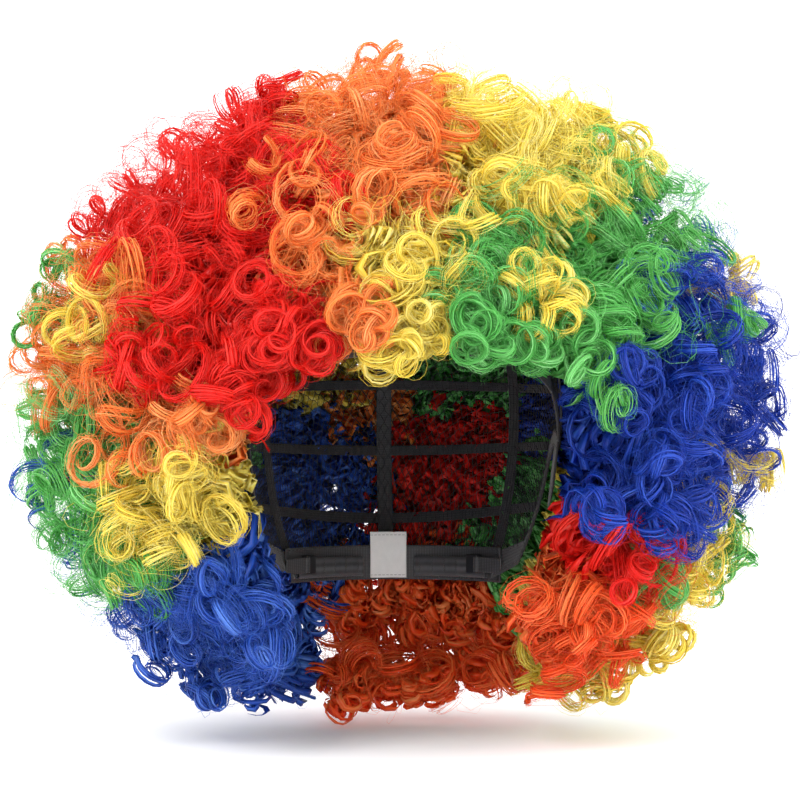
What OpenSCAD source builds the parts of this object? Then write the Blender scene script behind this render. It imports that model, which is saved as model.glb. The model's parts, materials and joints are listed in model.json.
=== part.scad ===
// Curly costume wig: rainbow hair sections sewn to a stretch cap that is tightened at the nape.
// Millimetres, +Z up. The face opening looks along -Y, and the origin is the centre of the head opening.
// Left and right are the wearer's own, so left is +X.

/* [Cap] */
// Half the cap's inside width, ear to ear
cap_half_w = 78; // [74:1:82]
// Half the cap's inside length, forehead to back
cap_half_l = 97; // [92:1:102]
// Height of the crown above the middle of the cap
cap_rise = 100; // [95:1:105]
// How far the cap's sides would run below its middle before they closed
cap_fall = 130; // [124:1:136]
// Height of the middle of the cap above the head opening
hub_z = 40; // [36:1:44]
// Width of the ribs that run down the cap
rib_w = 8; // [6:0.5:10]
// Height of a sewn weft tape, in degrees of the cap's curve
weft_h = 3; // [2:0.5:4]

/* [Hair] */
// Half the width of the hair
hair_half_w = 195; // [180:1:205]
// How far the hair stands out in front of the middle of the cap
hair_front = 150; // [140:1:160]
// How far it stands out behind
hair_back = 172; // [160:1:185]
// How far it stands up
hair_up = 186; // [175:1:195]
// How far it hangs down
hair_down = 165; // [150:1:170]
// Angle left free between one hair section and the next
section_gap = 0.6; // [0.4:0.1:1.2]
// A section's width at its roots, as a share of its width at the curls
root_share = 0.34; // [0.3:0.02:0.6]

/* [Nape adjuster] */
// Inside radius of the nape band
nape_r = 62; // [60:0.5:64]
// Height of the nape band
nape_h = 18; // [16:1:20]
// Angle of each hook from the centre of the nape, at rest in its loosest loop
hook_at = 46; // [44:0.5:47]
// Angle that a hook takes up along its loop tape
hook_w = 7; // [5:0.5:8]

/* [Hidden] */
HUB = [0, 0, hub_z];
NAPE_C = [0, 10, 0];
NAPE_Z = -39;
NAPE_END = 60;
STEP = 0.01;
RED = "#d9261c";
ORANGE = "#f4701b";
YELLOW = "#efc12b";
GREEN = "#4fae35";
BLUE = "#1f45a8";
CAP = "#26262a";

// Layers of the cap, as distances outside its inner surface: [inner, outer]
NET_LAYER = [0.2, 0.8];
BAND_LAYER = [0.2, 1.6];
RIB_LAYER = [1.9, 2.5];
WEFT_LAYER = [2.9, 3.9];
HAIR_OFF = 4.6;

// The hair stays outside this upright oval column, which is the neck's room
NECK_W = 70;
NECK_L = 78;
MIN_HAIR = 12;

// Height of the cap's rim, in degrees above the cap's middle, by angle from the front
RIM = [[0, 17], [40, 14], [58, 6], [72, -10], [80, -14], [94, -12], [100, -18], [108, -50], [126, -53],
    [180, -53]];
// Height of the band along the rim, in degrees
BAND = [[0, 7], [90, 6], [108, 7], [126, 8], [180, 8]];
// Gap between the net's foot and the bands, in degrees
NET_GAP = 1.5;
// Angle of the hair's edge from straight ahead, by angle round the face from the top
FACE = [[0, 18], [30, 26], [60, 42], [90, 52], [120, 60], [150, 70], [180, 75]];
// The hair's edge leans in over the face by this share
LEAN = 0.72;

// Rows of hair from the face opening to the back of the head, as shares of the way
FRONT_ROW = [0, 0.15];
CROWN_ROW = [0.15, 0.36];
BACK_ROW = [0.36, 0.64];
NAPE_ROW = [0.64, 0.92];
BACK_CENTRE = 0.92;

// Nape adjuster: thicknesses, then radii of the tape's two layers and of the hook's tongue and plate
NAPE_T = 1.2;
TAPE_T = 0.5;
HOOK_T = 1;
TAPE_OUT = nape_r - 0.1 - TAPE_T;
TAPE_IN = nape_r - 3.1;
TONGUE = nape_r - 2.1;
PLATE = nape_r - 4.4;
TAPE_LOW = NAPE_Z - 7;
TAPE_TOP = NAPE_Z + 3.4;
HOOK_TOP = NAPE_Z + 5;
HOOK_LOW = NAPE_Z - 4.5;
// The loop tape's ends, as angles from the centre of the nape
LOOPS_FROM = 13;
LOOPS_TO = 54;
// Where the strap turns straight, how far it runs on, and its height and thickness
STRAP_BEND = 52;
STRAP_RUN = 9;
STRAP_H = 8;
STRAP_T = 0.8;

// Hair sections: name, row, first and last angle round the face from the top, colour
SECTIONS = [
    ["hair_front_blue_right", FRONT_ROW, -150, -124, BLUE],
    ["hair_front_yellow_right", FRONT_ROW, -124, -100, YELLOW],
    ["hair_front_orange_right", FRONT_ROW, -100, -87, ORANGE],
    ["hair_front_red_right", FRONT_ROW, -87, -45, RED],
    ["hair_front_orange_top", FRONT_ROW, -45, -23, ORANGE],
    ["hair_front_yellow_top", FRONT_ROW, -23, 13, YELLOW],
    ["hair_front_green_left", FRONT_ROW, 13, 76, GREEN],
    ["hair_front_blue_left", FRONT_ROW, 76, 118, BLUE],
    ["hair_front_red_left", FRONT_ROW, 118, 133, RED],
    ["hair_front_orange_left", FRONT_ROW, 133, 150, ORANGE],
    ["hair_crown_blue_right", CROWN_ROW, -150, -124, BLUE],
    ["hair_crown_green_right", CROWN_ROW, -124, -88, GREEN],
    ["hair_crown_orange_right", CROWN_ROW, -88, -64, ORANGE],
    ["hair_crown_red_top", CROWN_ROW, -64, -21, RED],
    ["hair_crown_orange_top", CROWN_ROW, -21, 6, ORANGE],
    ["hair_crown_yellow_top", CROWN_ROW, 6, 38, YELLOW],
    ["hair_crown_green_top", CROWN_ROW, 38, 62, GREEN],
    ["hair_crown_blue_left", CROWN_ROW, 62, 108, BLUE],
    ["hair_crown_yellow_left", CROWN_ROW, 108, 150, YELLOW],
    ["hair_back_blue_right", BACK_ROW, -165, -112, BLUE],
    ["hair_back_green_right", BACK_ROW, -112, -68, GREEN],
    ["hair_back_red_top", BACK_ROW, -68, -22, RED],
    ["hair_back_orange_top", BACK_ROW, -22, 10, ORANGE],
    ["hair_back_yellow_top", BACK_ROW, 10, 50, YELLOW],
    ["hair_back_blue_left", BACK_ROW, 50, 102, BLUE],
    ["hair_back_green_left", BACK_ROW, 102, 148, GREEN],
    ["hair_back_orange_low", BACK_ROW, 148, 195, ORANGE],
    ["hair_nape_yellow_right", NAPE_ROW, -90, 0, YELLOW],
    ["hair_nape_green_left", NAPE_ROW, 0, 90, GREEN],
    ["hair_nape_red_left", NAPE_ROW, 90, 180, RED],
    ["hair_nape_blue_right", NAPE_ROW, 180, 270, BLUE],
];

// Ribs: name, angle from the front
RIBS = [["rib_front", 0], ["rib_front_left", 40], ["rib_front_right", -40], ["rib_side_left", 84],
    ["rib_side_right", -84], ["rib_back_left", 132], ["rib_back_right", -132], ["rib_back", 180]];
RIB_TOP = 66;

// Weft tapes: name, height in degrees, first and last angle from the front
WEFTS = [["weft_tape_1", 50, 0, 359], ["weft_tape_2", 36, 0, 359], ["weft_tape_3", 26, 0, 359],
    ["weft_tape_4", 8, 72, 288], ["weft_tape_5", -12, 108, 252], ["weft_tape_6", -32, 110, 250]];

// ---- Surfaces -------------------------------------------------------------------------------

// A direction by its angle round the face from the top, and its angle from straight ahead
function face_dir(round, ahead) =
    [sin(ahead) * sin(round), -cos(ahead), sin(ahead) * cos(round)];

// A direction by its angle from the front, and its height
function cap_dir(turn, height) =
    [cos(height) * sin(turn), -cos(height) * cos(turn), sin(height)];

// Distance from the hub to an oval with these half sizes, along a direction
function reach(d, w, l, h) = 1 / norm([d.x / w, d.y / l, d.z / h]);

function cap_reach(d, off) =
    reach(d, cap_half_w + off, cap_half_l + off, (d.z > 0 ? cap_rise : cap_fall) + off);
function curl_reach(d) =
    reach(d, hair_half_w, d.y < 0 ? hair_front : hair_back, d.z > 0 ? hair_up : hair_down);
function neck_reach(d) = d.z < 0 ? 1 / norm([d.x / NECK_W, d.y / NECK_L]) : 0;
function root_reach(d) =
    min(max(cap_reach(d, HAIR_OFF), neck_reach(d)), curl_reach(d) - MIN_HAIR);

function cap_point(turn, height, off) =
    let (d = cap_dir(turn, height)) HUB + d * cap_reach(d, off);

// Angle from straight ahead, at a share of the way from the hair's edge to the back
function ahead_at(round, share, lean) =
    let (edge = lookup(abs(round > 180 ? round - 360 : round), FACE))
    let (near = edge * (share < 0.5 ? 1 - (1 - lean) * (1 - 2 * share) : 1))
    near + share * (180 - near);

// ---- Solids ---------------------------------------------------------------------------------

// A closed solid between two grids of points, each with nu + 1 points along and nv + 1 rows
module grid_solid(inner, outer, nu, nv) {
    row = nu + 1;
    n = row * (nv + 1);
    function at(i, j, far) = j * row + i + (far ? n : 0);
    function pair(a, b, c, d) = [[a, b, c], [a, c, d]];
    faces = [
        for (j = [0:nv - 1], i = [0:nu - 1])
            each concat(
                pair(at(i, j, true), at(i, j + 1, true), at(i + 1, j + 1, true), at(i + 1, j, true)),
                pair(at(i, j, false), at(i + 1, j, false), at(i + 1, j + 1, false), at(i, j + 1, false))
            ),
        for (i = [0:nu - 1])
            each concat(
                pair(at(i, 0, false), at(i, 0, true), at(i + 1, 0, true), at(i + 1, 0, false)),
                pair(at(i, nv, false), at(i + 1, nv, false), at(i + 1, nv, true), at(i, nv, true))
            ),
        for (j = [0:nv - 1])
            each concat(
                pair(at(0, j, false), at(0, j + 1, false), at(0, j + 1, true), at(0, j, true)),
                pair(at(nu, j, false), at(nu, j, true), at(nu, j + 1, true), at(nu, j + 1, false))
            )
    ];
    polyhedron(points = concat(inner, outer), faces = faces, convexity = 4);
}

// One section of hair: narrow at the roots on the cap, full width at the curls
module hair_section(row, from, to) {
    nu = max(2, ceil((to - from) / 11));
    nv = 3;
    a = from + section_gap / 2;
    b = to - section_gap / 2;
    lift = section_gap / 300;
    function grid(share, lean, far) = [
        for (j = [0:nv], i = [0:nu])
            let (u = 0.5 + (i / nu - 0.5) * share, v = 0.5 + (j / nv - 0.5) * share)
            let (round = a + (b - a) * u, along = row[0] + lift + (row[1] - row[0] - 2 * lift) * v)
            let (d = face_dir(round, ahead_at(round, along, lean)))
            HUB + d * (far ? curl_reach(d) : root_reach(d))
    ];
    grid_solid(grid(root_share, 1, false), grid(1, LEAN, true), nu, nv);
}

// The round section that closes the back of the hair
module hair_back_centre() {
    n = 16;
    lift = section_gap / 300;
    function ring(share, far) = [
        for (i = [0:n - 1])
            let (d = face_dir(i * 360 / n, ahead_at(i * 360 / n, share, 1)))
            HUB + d * (far ? curl_reach(d) : root_reach(d))
    ];
    back = [0, 1, 0];
    points = concat(
        ring(BACK_CENTRE + (1 - BACK_CENTRE) * (1 - root_share), false),
        ring(BACK_CENTRE + lift, true),
        [HUB + back * root_reach(back), HUB + back * curl_reach(back)]
    );
    faces = [
        for (i = [0:n - 1])
            let (k = (i + 1) % n)
            each [[i, k, 2 * n], [n + k, n + i, 2 * n + 1], [k, i, n + i], [k, n + i, n + k]]
    ];
    color(ORANGE) polyhedron(points = points, faces = faces, convexity = 4);
}

// A strip that follows the cap between two heights
module cap_strip(from, to, low, high, layer, step = 4) {
    nu = max(2, ceil((to - from) / step));
    nv = 2;
    function grid(off) = [
        for (j = [0:nv], i = [0:nu])
            let (turn = from + (to - from) * i / nu)
            let (lo = lookup(acos(cos(turn)), low), hi = lookup(acos(cos(turn)), high))
            cap_point(turn, lo + (hi - lo) * j / nv, off)
    ];
    grid_solid(grid(layer[0]), grid(layer[1]), nu, nv);
}

// A band along the rim, between two angles from the front
module rim_band(from, to) {
    top = [for (turn = [0:2:180]) [turn, lookup(turn, RIM) + lookup(turn, BAND)]];
    color(CAP) cap_strip(from, to, RIM, top, BAND_LAYER, 3);
}

// A rib of even width down the cap
module rib(turn) {
    low = lookup(abs(turn), RIM) + (abs(turn) > 126 ? 9 : 1);
    nu = 2;
    nv = ceil((RIB_TOP - low) / 6);
    function grid(off) = [
        for (j = [0:nv], i = [0:nu])
            let (height = low + (RIB_TOP - low) * j / nv)
            let (middle = cap_point(turn, height, 0))
            let (width = rib_w / norm([middle.x, middle.y]) * 180 / PI)
            cap_point(turn + width * (i / nu - 0.5), height, off)
    ];
    color(CAP) grid_solid(grid(RIB_LAYER[0]), grid(RIB_LAYER[1]), nu, nv);
}

module weft_tape(height, from, to) {
    low = [[0, height - weft_h / 2], [180, height - weft_h / 2]];
    high = [[0, height + weft_h / 2], [180, height + weft_h / 2]];
    color(CAP) cap_strip(from, to, low, high, WEFT_LAYER, 6);
}

// The net over the whole cap, a thin dome down to the bands
module crown_net() {
    n = 72;
    rings = 14;
    function foot(turn) =
        lookup(acos(cos(turn)), RIM) + lookup(acos(cos(turn)), BAND) + NET_GAP;
    function dome(off) = concat(
        [for (j = [0:rings - 1], i = [0:n - 1])
            let (turn = i * 360 / n, low = foot(turn))
            cap_point(turn, low + (90 - low) * j / rings, off)],
        [cap_point(0, 90, off)]
    );
    m = rings * n + 1;
    function side(flip, base) = concat(
        [for (j = [0:rings - 2], i = [0:n - 1])
            let (k = (i + 1) % n, p = base + j * n, q = base + (j + 1) * n)
            each flip ? [[p + i, p + k, q + k], [p + i, q + k, q + i]]
                : [[p + i, q + k, p + k], [p + i, q + i, q + k]]],
        [for (i = [0:n - 1])
            let (k = (i + 1) % n, p = base + (rings - 1) * n)
            flip ? [p + i, p + k, base + m - 1] : [p + i, base + m - 1, p + k]]
    );
    wall = [for (i = [0:n - 1]) let (k = (i + 1) % n) each [[i, m + i, m + k], [i, m + k, k]]];
    color(CAP)
        polyhedron(
            points = concat(dome(NET_LAYER[0]), dome(NET_LAYER[1])),
            faces = concat(side(true, 0), side(false, m), wall),
            convexity = 4
        );
}

// A fabric tab in front of the ear
module ear_tab(side) {
    mid = 82;
    half = 9;
    function edge(depth) = [[mid - half, -14.5 - depth], [mid + half, -14.5 - depth]];
    low = [[mid - half, -26], [mid, -34], [mid + half, -26]];
    from = side * mid - half;
    color(CAP) cap_strip(from, from + 2 * half, low, edge(0.5), BAND_LAYER, 3);
}

// ---- Nape ---------------------------------------------------------------------------------

// Part of a ring about the nape's axis: its profile turned from one angle to another,
// both measured from the centre of the nape towards the wearer's left
module nape_arc(from, to) {
    translate(NAPE_C)
        rotate([0, 0, 90 - to])
            rotate_extrude(angle = to - from, $fn = 180)
                children();
}

module nape_rect(r0, r1, z0, z1) {
    translate([r0, z0]) square([r1 - r0, z1 - z0]);
}

module mirrored(side) {
    if (side > 0) children();
    else mirror([1, 0, 0]) children();
}

module nape_band() {
    color(CAP)
        nape_arc(-NAPE_END, NAPE_END)
            nape_rect(nape_r, nape_r + NAPE_T, NAPE_Z - nape_h / 2, NAPE_Z + nape_h / 2);
}

// Folded tape that stands open at the top, so that the hook's tongue drops behind it
module loop_tape(side) {
    color("#3a3a40")
        mirrored(side)
            nape_arc(LOOPS_FROM, LOOPS_TO)
                union() {
                    nape_rect(TAPE_IN, TAPE_IN + TAPE_T, TAPE_LOW, TAPE_TOP);
                    nape_rect(TAPE_IN, TAPE_OUT + TAPE_T, TAPE_LOW, TAPE_LOW + TAPE_T);
                    nape_rect(TAPE_OUT, TAPE_OUT + TAPE_T, TAPE_LOW, TAPE_TOP);
                }
}

// Flat hook: a plate inside the tape, a bridge over it and a tongue behind it
module adjuster_hook(side) {
    color("#1a1a1c")
        mirrored(side)
            nape_arc(hook_at - hook_w / 2, hook_at + hook_w / 2)
                polygon([
                    [PLATE, HOOK_LOW], [PLATE, HOOK_TOP], [TONGUE + HOOK_T, HOOK_TOP],
                    [TONGUE + HOOK_T, HOOK_LOW], [TONGUE, HOOK_LOW], [TONGUE, HOOK_TOP - HOOK_T],
                    [PLATE + HOOK_T, HOOK_TOP - HOOK_T], [PLATE + HOOK_T, HOOK_LOW]
                ]);
}

// Elastic strap from the hook round the nape and straight on to the side band
module adjuster_strap(side) {
    inner = PLATE + 0.1;
    color("#303034")
        mirrored(side)
            union() {
                nape_arc(hook_at + hook_w / 2 + 0.2, STRAP_BEND)
                    nape_rect(inner, inner + STRAP_T, NAPE_Z - STRAP_H / 2, NAPE_Z + STRAP_H / 2);
                translate(NAPE_C)
                    rotate([0, 0, -STRAP_BEND])
                        translate([-STEP, inner, NAPE_Z - STRAP_H / 2])
                            cube([STRAP_RUN, STRAP_T, STRAP_H]);
            }
}

// Plain label, sewn in at the centre of the nape
module care_label() {
    color("white")
        nape_arc(-9, 9)
            nape_rect(nape_r - 1, nape_r - 0.5, NAPE_Z - 8, NAPE_Z + 16);
}

// ---- Sub-parts ------------------------------------------------------------------------------

for (s = SECTIONS)
    color(s[4]) hair_section(s[1], s[2], s[3]);
hair_back_centre();
crown_net();
rim_band(-57, 57);  // front_band
rim_band(58, 126);  // side_band_left
rim_band(-126, -58);  // side_band_right
nape_band();
ear_tab(1);  // ear_tab_left
ear_tab(-1);  // ear_tab_right
care_label();
for (r = RIBS)
    rib(r[1]);
for (w = WEFTS)
    weft_tape(w[1], w[2], w[3]);
loop_tape(1);  // loop_tape_left
loop_tape(-1);  // loop_tape_right
adjuster_strap(1);  // adjuster_strap_left
adjuster_strap(-1);  // adjuster_strap_right
adjuster_hook(1);  // adjuster_hook_left
adjuster_hook(-1);  // adjuster_hook_right
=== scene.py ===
"""Looks of the curly costume wig: curled hair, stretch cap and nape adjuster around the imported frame.

Metres, +Z up, the face opening looks along -Y. Left is the wearer's left, +X.
"""

import json
import math

import bmesh
import bpy
import numpy as np
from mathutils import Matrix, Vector


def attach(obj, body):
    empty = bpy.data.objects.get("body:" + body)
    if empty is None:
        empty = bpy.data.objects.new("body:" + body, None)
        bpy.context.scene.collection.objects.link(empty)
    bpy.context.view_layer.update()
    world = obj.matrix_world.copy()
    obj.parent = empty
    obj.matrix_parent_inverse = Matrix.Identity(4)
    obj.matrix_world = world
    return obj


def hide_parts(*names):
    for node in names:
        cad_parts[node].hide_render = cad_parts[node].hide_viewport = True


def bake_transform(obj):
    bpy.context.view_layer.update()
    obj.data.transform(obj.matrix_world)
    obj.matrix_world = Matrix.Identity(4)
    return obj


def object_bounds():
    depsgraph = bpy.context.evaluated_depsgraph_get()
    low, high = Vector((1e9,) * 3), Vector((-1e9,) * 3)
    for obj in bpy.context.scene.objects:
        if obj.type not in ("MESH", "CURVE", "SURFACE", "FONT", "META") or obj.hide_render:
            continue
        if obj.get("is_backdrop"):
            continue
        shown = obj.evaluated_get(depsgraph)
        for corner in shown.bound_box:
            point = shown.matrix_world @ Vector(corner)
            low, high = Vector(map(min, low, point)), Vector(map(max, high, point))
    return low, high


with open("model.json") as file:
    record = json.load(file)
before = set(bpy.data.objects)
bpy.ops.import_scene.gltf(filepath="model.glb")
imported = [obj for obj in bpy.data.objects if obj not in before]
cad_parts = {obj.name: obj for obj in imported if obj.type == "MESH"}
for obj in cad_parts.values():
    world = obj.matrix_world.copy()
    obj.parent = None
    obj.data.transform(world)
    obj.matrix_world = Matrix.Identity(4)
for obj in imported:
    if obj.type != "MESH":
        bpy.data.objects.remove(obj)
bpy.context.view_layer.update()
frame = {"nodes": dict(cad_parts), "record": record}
nodes = frame["nodes"]
slot_of = {s["node"]: s["material_slot"] for s in frame["record"]["subparts"]}

MM = 0.001
# Middle of the head, and half sizes of the cap and the hair from there: sideways, ahead and up
HUB = np.array([0, 0, 40]) * MM
CAP_SIZE = np.array([78, 97, 100]) * MM
HAIR_SIZE = np.array([195, 150, 179]) * MM
# How far the hair reaches back, and the cap and the hair down
HAIR_BACK = 172 * MM
CAP_FALL = 130 * MM
HAIR_FALL = 165 * MM
# Half sizes of the free space round the neck
NECK_SIZE = np.array([70, 78]) * MM
# Level from the hub below which the hair stands free of the cap
FREE_LEVEL = -95 * MM
UP = np.array([0.0, 0.0, 1.0])
TURN = 2 * math.pi

# Stray curls that grow in another colour's hair:
# the section they belong to, their middle seen from the front (x, z), half width and height, all in mm
STRAYS = [
    ("hair_front_yellow_top", 62, 140, 15, 2),
    ("hair_front_yellow_top", 56, 104, 17, 5),
    ("hair_front_yellow_top", 63, 82, 12, 5),
    ("hair_front_yellow_top", -14, 108, 14, 3),
    ("hair_front_yellow_top", -16, 70, 12, 3),
    ("hair_front_orange_top", -62, 158, 11, 3),
    ("hair_front_orange_top", -60, 122, 11, 3),
    ("hair_front_red_right", -84, 44, 15, 3),
    ("hair_front_yellow_right", -168, 82, 14, 2),
    ("hair_back_green_right", -182, 114, 12, 3),
    ("hair_crown_green_right", -188, 76, 10, 2),
    ("hair_crown_green_right", -130, -44, 13, 2),
    ("hair_crown_blue_right", -186, -8, 10, 2),
    ("hair_crown_yellow_top", 122, 172, 13, 3),
    ("hair_crown_yellow_top", 106, 205, 10, 2),
    ("hair_crown_green_top", 168, 86, 9, 3),
    ("hair_front_green_left", 90, 54, 13, 4),
    ("hair_back_yellow_top", 190, 108, 9, 3),
    ("hair_crown_yellow_left", 188, 10, 9, 2),
    ("hair_back_green_left", 168, -46, 18, 3),
    ("hair_back_green_left", 122, -50, 12, 2),
    ("hair_crown_red_top", -66, 204, 9, 8),
    ("hair_crown_orange_top", -16, 219, 10, 8),
    ("hair_front_orange_left", 72, -88, 15, 3),
    ("hair_front_orange_left", 104, -84, 15, 3),
    ("hair_front_orange_left", 112, -58, 13, 4),
    ("hair_front_blue_left", 90, -10, 13, 3),
    ("hair_front_blue_left", 122, -16, 12, 3),
]


# ---- Small helpers --------------------------------------------------------------------------


def unit(v):
    return v / np.maximum(np.linalg.norm(v, axis=-1, keepdims=True), 1e-9)


def smooth(x, low, high):
    t = np.clip((x - low) / (high - low), 0, 1)
    return t * t * (3 - 2 * t)


def reach(d, size, back, fall):
    """How far the oval with these half sizes reaches from the hub along directions d."""
    w = np.full(d.shape[:-1], size[0])
    l = np.where(d[..., 1] < 0, size[1], back)
    h = np.where(d[..., 2] > 0, size[2], fall)
    return 1 / np.sqrt((d[..., 0] / w) ** 2 + (d[..., 1] / l) ** 2 + (d[..., 2] / h) ** 2)


def curl_reach(d):
    return reach(d, HAIR_SIZE, HAIR_BACK, HAIR_FALL)


def root_reach(d):
    cap = reach(d, CAP_SIZE, CAP_SIZE[1], CAP_FALL) + 4 * MM
    flat = np.maximum(np.hypot(d[..., 0] / NECK_SIZE[0], d[..., 1] / NECK_SIZE[1]), 1e-6)
    neck = np.where(d[..., 2] < 0, 1 / flat, 0)
    return np.minimum(np.maximum(cap, neck), curl_reach(d) - 12 * MM)


# Angle of the hair's edge from straight ahead, by angle round the face from the top, in degrees
FACE_ROUND = [0, 30, 60, 90, 120, 150, 180]
FACE_AHEAD = [18, 26, 42, 52, 60, 70, 75]
LEAN = 0.72


def leaning(d, r):
    """The point at distance r from the hub, under direction d of the hair's surface.

    The hair's edge leans in over the face, so its roots lie further back than its curls.
    """
    ahead = np.degrees(np.arccos(np.clip(-d[:, 1], -1, 1)))
    flat = unit(d * [1, 0, 1])
    edge = np.interp(np.degrees(np.abs(np.arctan2(flat[:, 0], flat[:, 2]))), FACE_ROUND, FACE_AHEAD)
    near = edge * LEAN
    for _ in range(3):
        share = (ahead - near) / (180 - near)
        near = edge * (1 - (1 - LEAN) * np.clip(1 - 2 * share, 0, 1))
    far = curl_reach(d)
    root = root_reach(d)
    mix = np.clip((r - root) / (far - root), 0, 1)
    angle = np.radians(ahead * mix + (edge + share * (180 - edge)) * (1 - mix))[:, None]
    under = np.sin(angle) * flat - np.cos(angle) * np.array([0, 1.0, 0])
    return HUB + under * np.maximum(r, root_reach(under))[:, None]


def across(axis):
    """Two unit vectors at right angles to each axis."""
    side = np.where(np.abs(axis[..., 2:3]) > 0.9, [[1.0, 0, 0]], [[0, 0, 1.0]])
    one = unit(np.cross(axis, side))
    return one, np.cross(axis, one)


# ---- Fibre meshes ---------------------------------------------------------------------------

COLUMNS = 64
UV_NAME = "OFBake"


class Fibres:
    """Collects closed fibres, tapered tubes along curves, and turns them into one mesh."""

    def __init__(self):
        self.verts, self.polys, self.uvs, self.count = [], [], [], 0

    def add(self, curves, flat, half_w, half_t, sides, column, taper=(0.5, 0.12)):
        """curves is (fibres, points, 3), and flat the direction of each one's width."""
        n, m, _ = curves.shape
        along = unit(np.gradient(curves, axis=1))
        wide = unit(flat - (flat * along).sum(-1, keepdims=True) * along)
        thin = np.cross(along, wide)
        s = np.linspace(0, 1, m)
        thick = np.interp(s, [0, 0.12, 0.8, 1], [taper[0], 1, 0.9, taper[1]])[None, :, None, None]
        turn = np.arange(sides) * TURN / sides
        w = half_w[:, None, None, None] * np.cos(turn)[None, None, :, None]
        t = half_t[:, None, None, None] * np.sin(turn)[None, None, :, None]
        v = curves[:, :, None] + thick * (w * wide[:, :, None] + t * thin[:, :, None])
        u = (column[:, None, None] % COLUMNS + 0.1 + 0.4 * (1 + np.cos(turn))[None, None]) / COLUMNS
        uv = np.stack(np.broadcast_arrays(u, (0.01 + 0.98 * s)[None, :, None]), axis=-1)
        i = np.arange(n)[:, None, None] * m * sides
        j = np.arange(m - 1)[None, :, None] * sides
        k = np.arange(sides)[None, None]
        a, b = i + j + k, i + j + (k + 1) % sides
        quads = np.stack([a, b, b + sides, a + sides], axis=-1).reshape(-1, 4)
        first = (np.arange(n)[:, None] * m * sides + np.arange(sides)[None, ::-1]).reshape(-1, sides)
        last = np.arange(n)[:, None] * m * sides + (m - 1) * sides + np.arange(sides)[None]
        for p in (quads, first, last):
            self.polys.append(p + self.count)
        self.verts.append(v.reshape(-1, 3))
        self.uvs.append(uv.reshape(-1, 2))
        self.count += n * m * sides

    def mesh(self, name):
        verts, uvs = np.concatenate(self.verts), np.concatenate(self.uvs)
        loops = np.concatenate([p.ravel() for p in self.polys])
        sizes = np.concatenate([np.full(len(p), p.shape[1]) for p in self.polys])
        starts = np.concatenate([[0], np.cumsum(sizes)[:-1]])
        me = bpy.data.meshes.new(name)
        me.vertices.add(len(verts))
        me.vertices.foreach_set("co", verts.astype(np.float32).ravel())
        me.loops.add(len(loops))
        me.loops.foreach_set("vertex_index", loops.astype(np.int32))
        me.polygons.add(len(sizes))
        me.polygons.foreach_set("loop_start", starts.astype(np.int32))
        me.update(calc_edges=True)
        me.polygons.foreach_set("use_smooth", np.ones(len(sizes), bool))
        layer = me.uv_layers.new(name=UV_NAME)
        layer.data.foreach_set("uv", uvs[loops].astype(np.float32).ravel())
        me.update()
        return me


FIBRE_SIDES = 3
# Columns of the map between a lock's strips and its fine strands, which have a shade of their own
FINE_SHADE = 20
# Points along each kind of fibre, its half width and its half thickness
STRIP = (28, 0.62 * MM, 0.15 * MM)
NECK_STRIP = (25, 0.85 * MM, 0.2 * MM)
STRAND = (25, 0.13 * MM, 0.13 * MM)
AIRY_STRAND = (25, 0.11 * MM, 0.11 * MM)
WISP = (25, 0.08 * MM, 0.08 * MM)
FRIZZ = (16, 0.08 * MM, 0.08 * MM)


# ---- Locks ----------------------------------------------------------------------------------


class Locks:
    """Curled locks. Each runs from base past bend to tip, and coils round axis near its tip."""

    def __init__(self, base, bend, tip, axis, radius, turns, tighten, ease, bundle):
        self.n = len(base)
        self.base, self.bend, self.tip, self.axis = base, bend, tip, axis
        self.radius, self.turns, self.tighten, self.ease = radius, turns, tighten, ease
        self.bundle = bundle


def grow(fibres, locks, rng, count, points, half_w, half_t, loose, ripple, shade=0):
    """Adds count fibres to each lock, in an oval bundle that twists as it runs."""
    n, f = locks.n, count

    def lift(x):
        return np.asarray(x).reshape(n, 1, 1, -1)

    state = np.random.default_rng(n * 7 + 1)
    phase = lift(state.uniform(0, TURN, n))
    twist = lift(state.uniform(1.0, 3.0, n))
    column = state.integers(0, COLUMNS, n)
    hand = lift(np.where(state.random(n) < 0.5, 1.0, -1.0))
    s = (np.linspace(0, 1, points) ** 0.75).reshape(1, 1, -1, 1)
    s = s * (1 - 0.2 * rng.random((n, f, 1, 1)) ** 2)
    far = 1 - (1 - s) ** lift(locks.ease)
    line = (1 - far) ** 2 * lift(locks.base) + 2 * far * (1 - far) * lift(locks.bend)
    line = line + far**2 * lift(locks.tip)
    one, two = across(locks.axis)
    size = smooth(s, 0.05, 0.45) * (1 - lift(locks.tighten) * smooth(s, 0.5, 1.0))
    angle = phase + hand * TURN * lift(locks.turns) * s**1.2
    radial = np.cos(angle) * lift(one) + np.sin(angle) * lift(two)
    ring = (np.arange(f) / f).reshape(1, f, 1, 1) * TURN + phase + twist * s
    ring = ring + rng.normal(0, 0.25, (n, f, 1, 1))
    far_out = loose[0] + loose[1] * rng.random((n, f, 1, 1))
    gather = (0.3 + 0.7 * smooth(s, 0, 0.35)) * (1 - 0.6 * smooth(s, 0.75, 1)) * far_out
    wave = ripple * np.sin(s * 26 + rng.uniform(0, TURN, (n, f, 1, 1)))
    out = lift(locks.bundle) * 0.45 * np.sin(ring) * gather + wave
    side = lift(locks.bundle) * np.cos(ring) * gather + wave * 0.7
    curves = line + (lift(locks.radius) * size + out) * radial + side * lift(locks.axis)
    flat = -np.sin(ring) * lift(locks.axis) + 0.45 * np.cos(ring) * radial
    flat = np.broadcast_to(flat, curves.shape).reshape(-1, points, 3)
    k = n * f
    which = (column[:, None] + rng.integers(-2, 3, (n, f)) + shade).ravel()
    w = half_w * rng.uniform(0.7, 1.25, k)
    t = half_t * rng.uniform(0.8, 1.2, k)
    fibres.add(curves.reshape(-1, points, 3), flat, w, t, FIBRE_SIDES, which)


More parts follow.
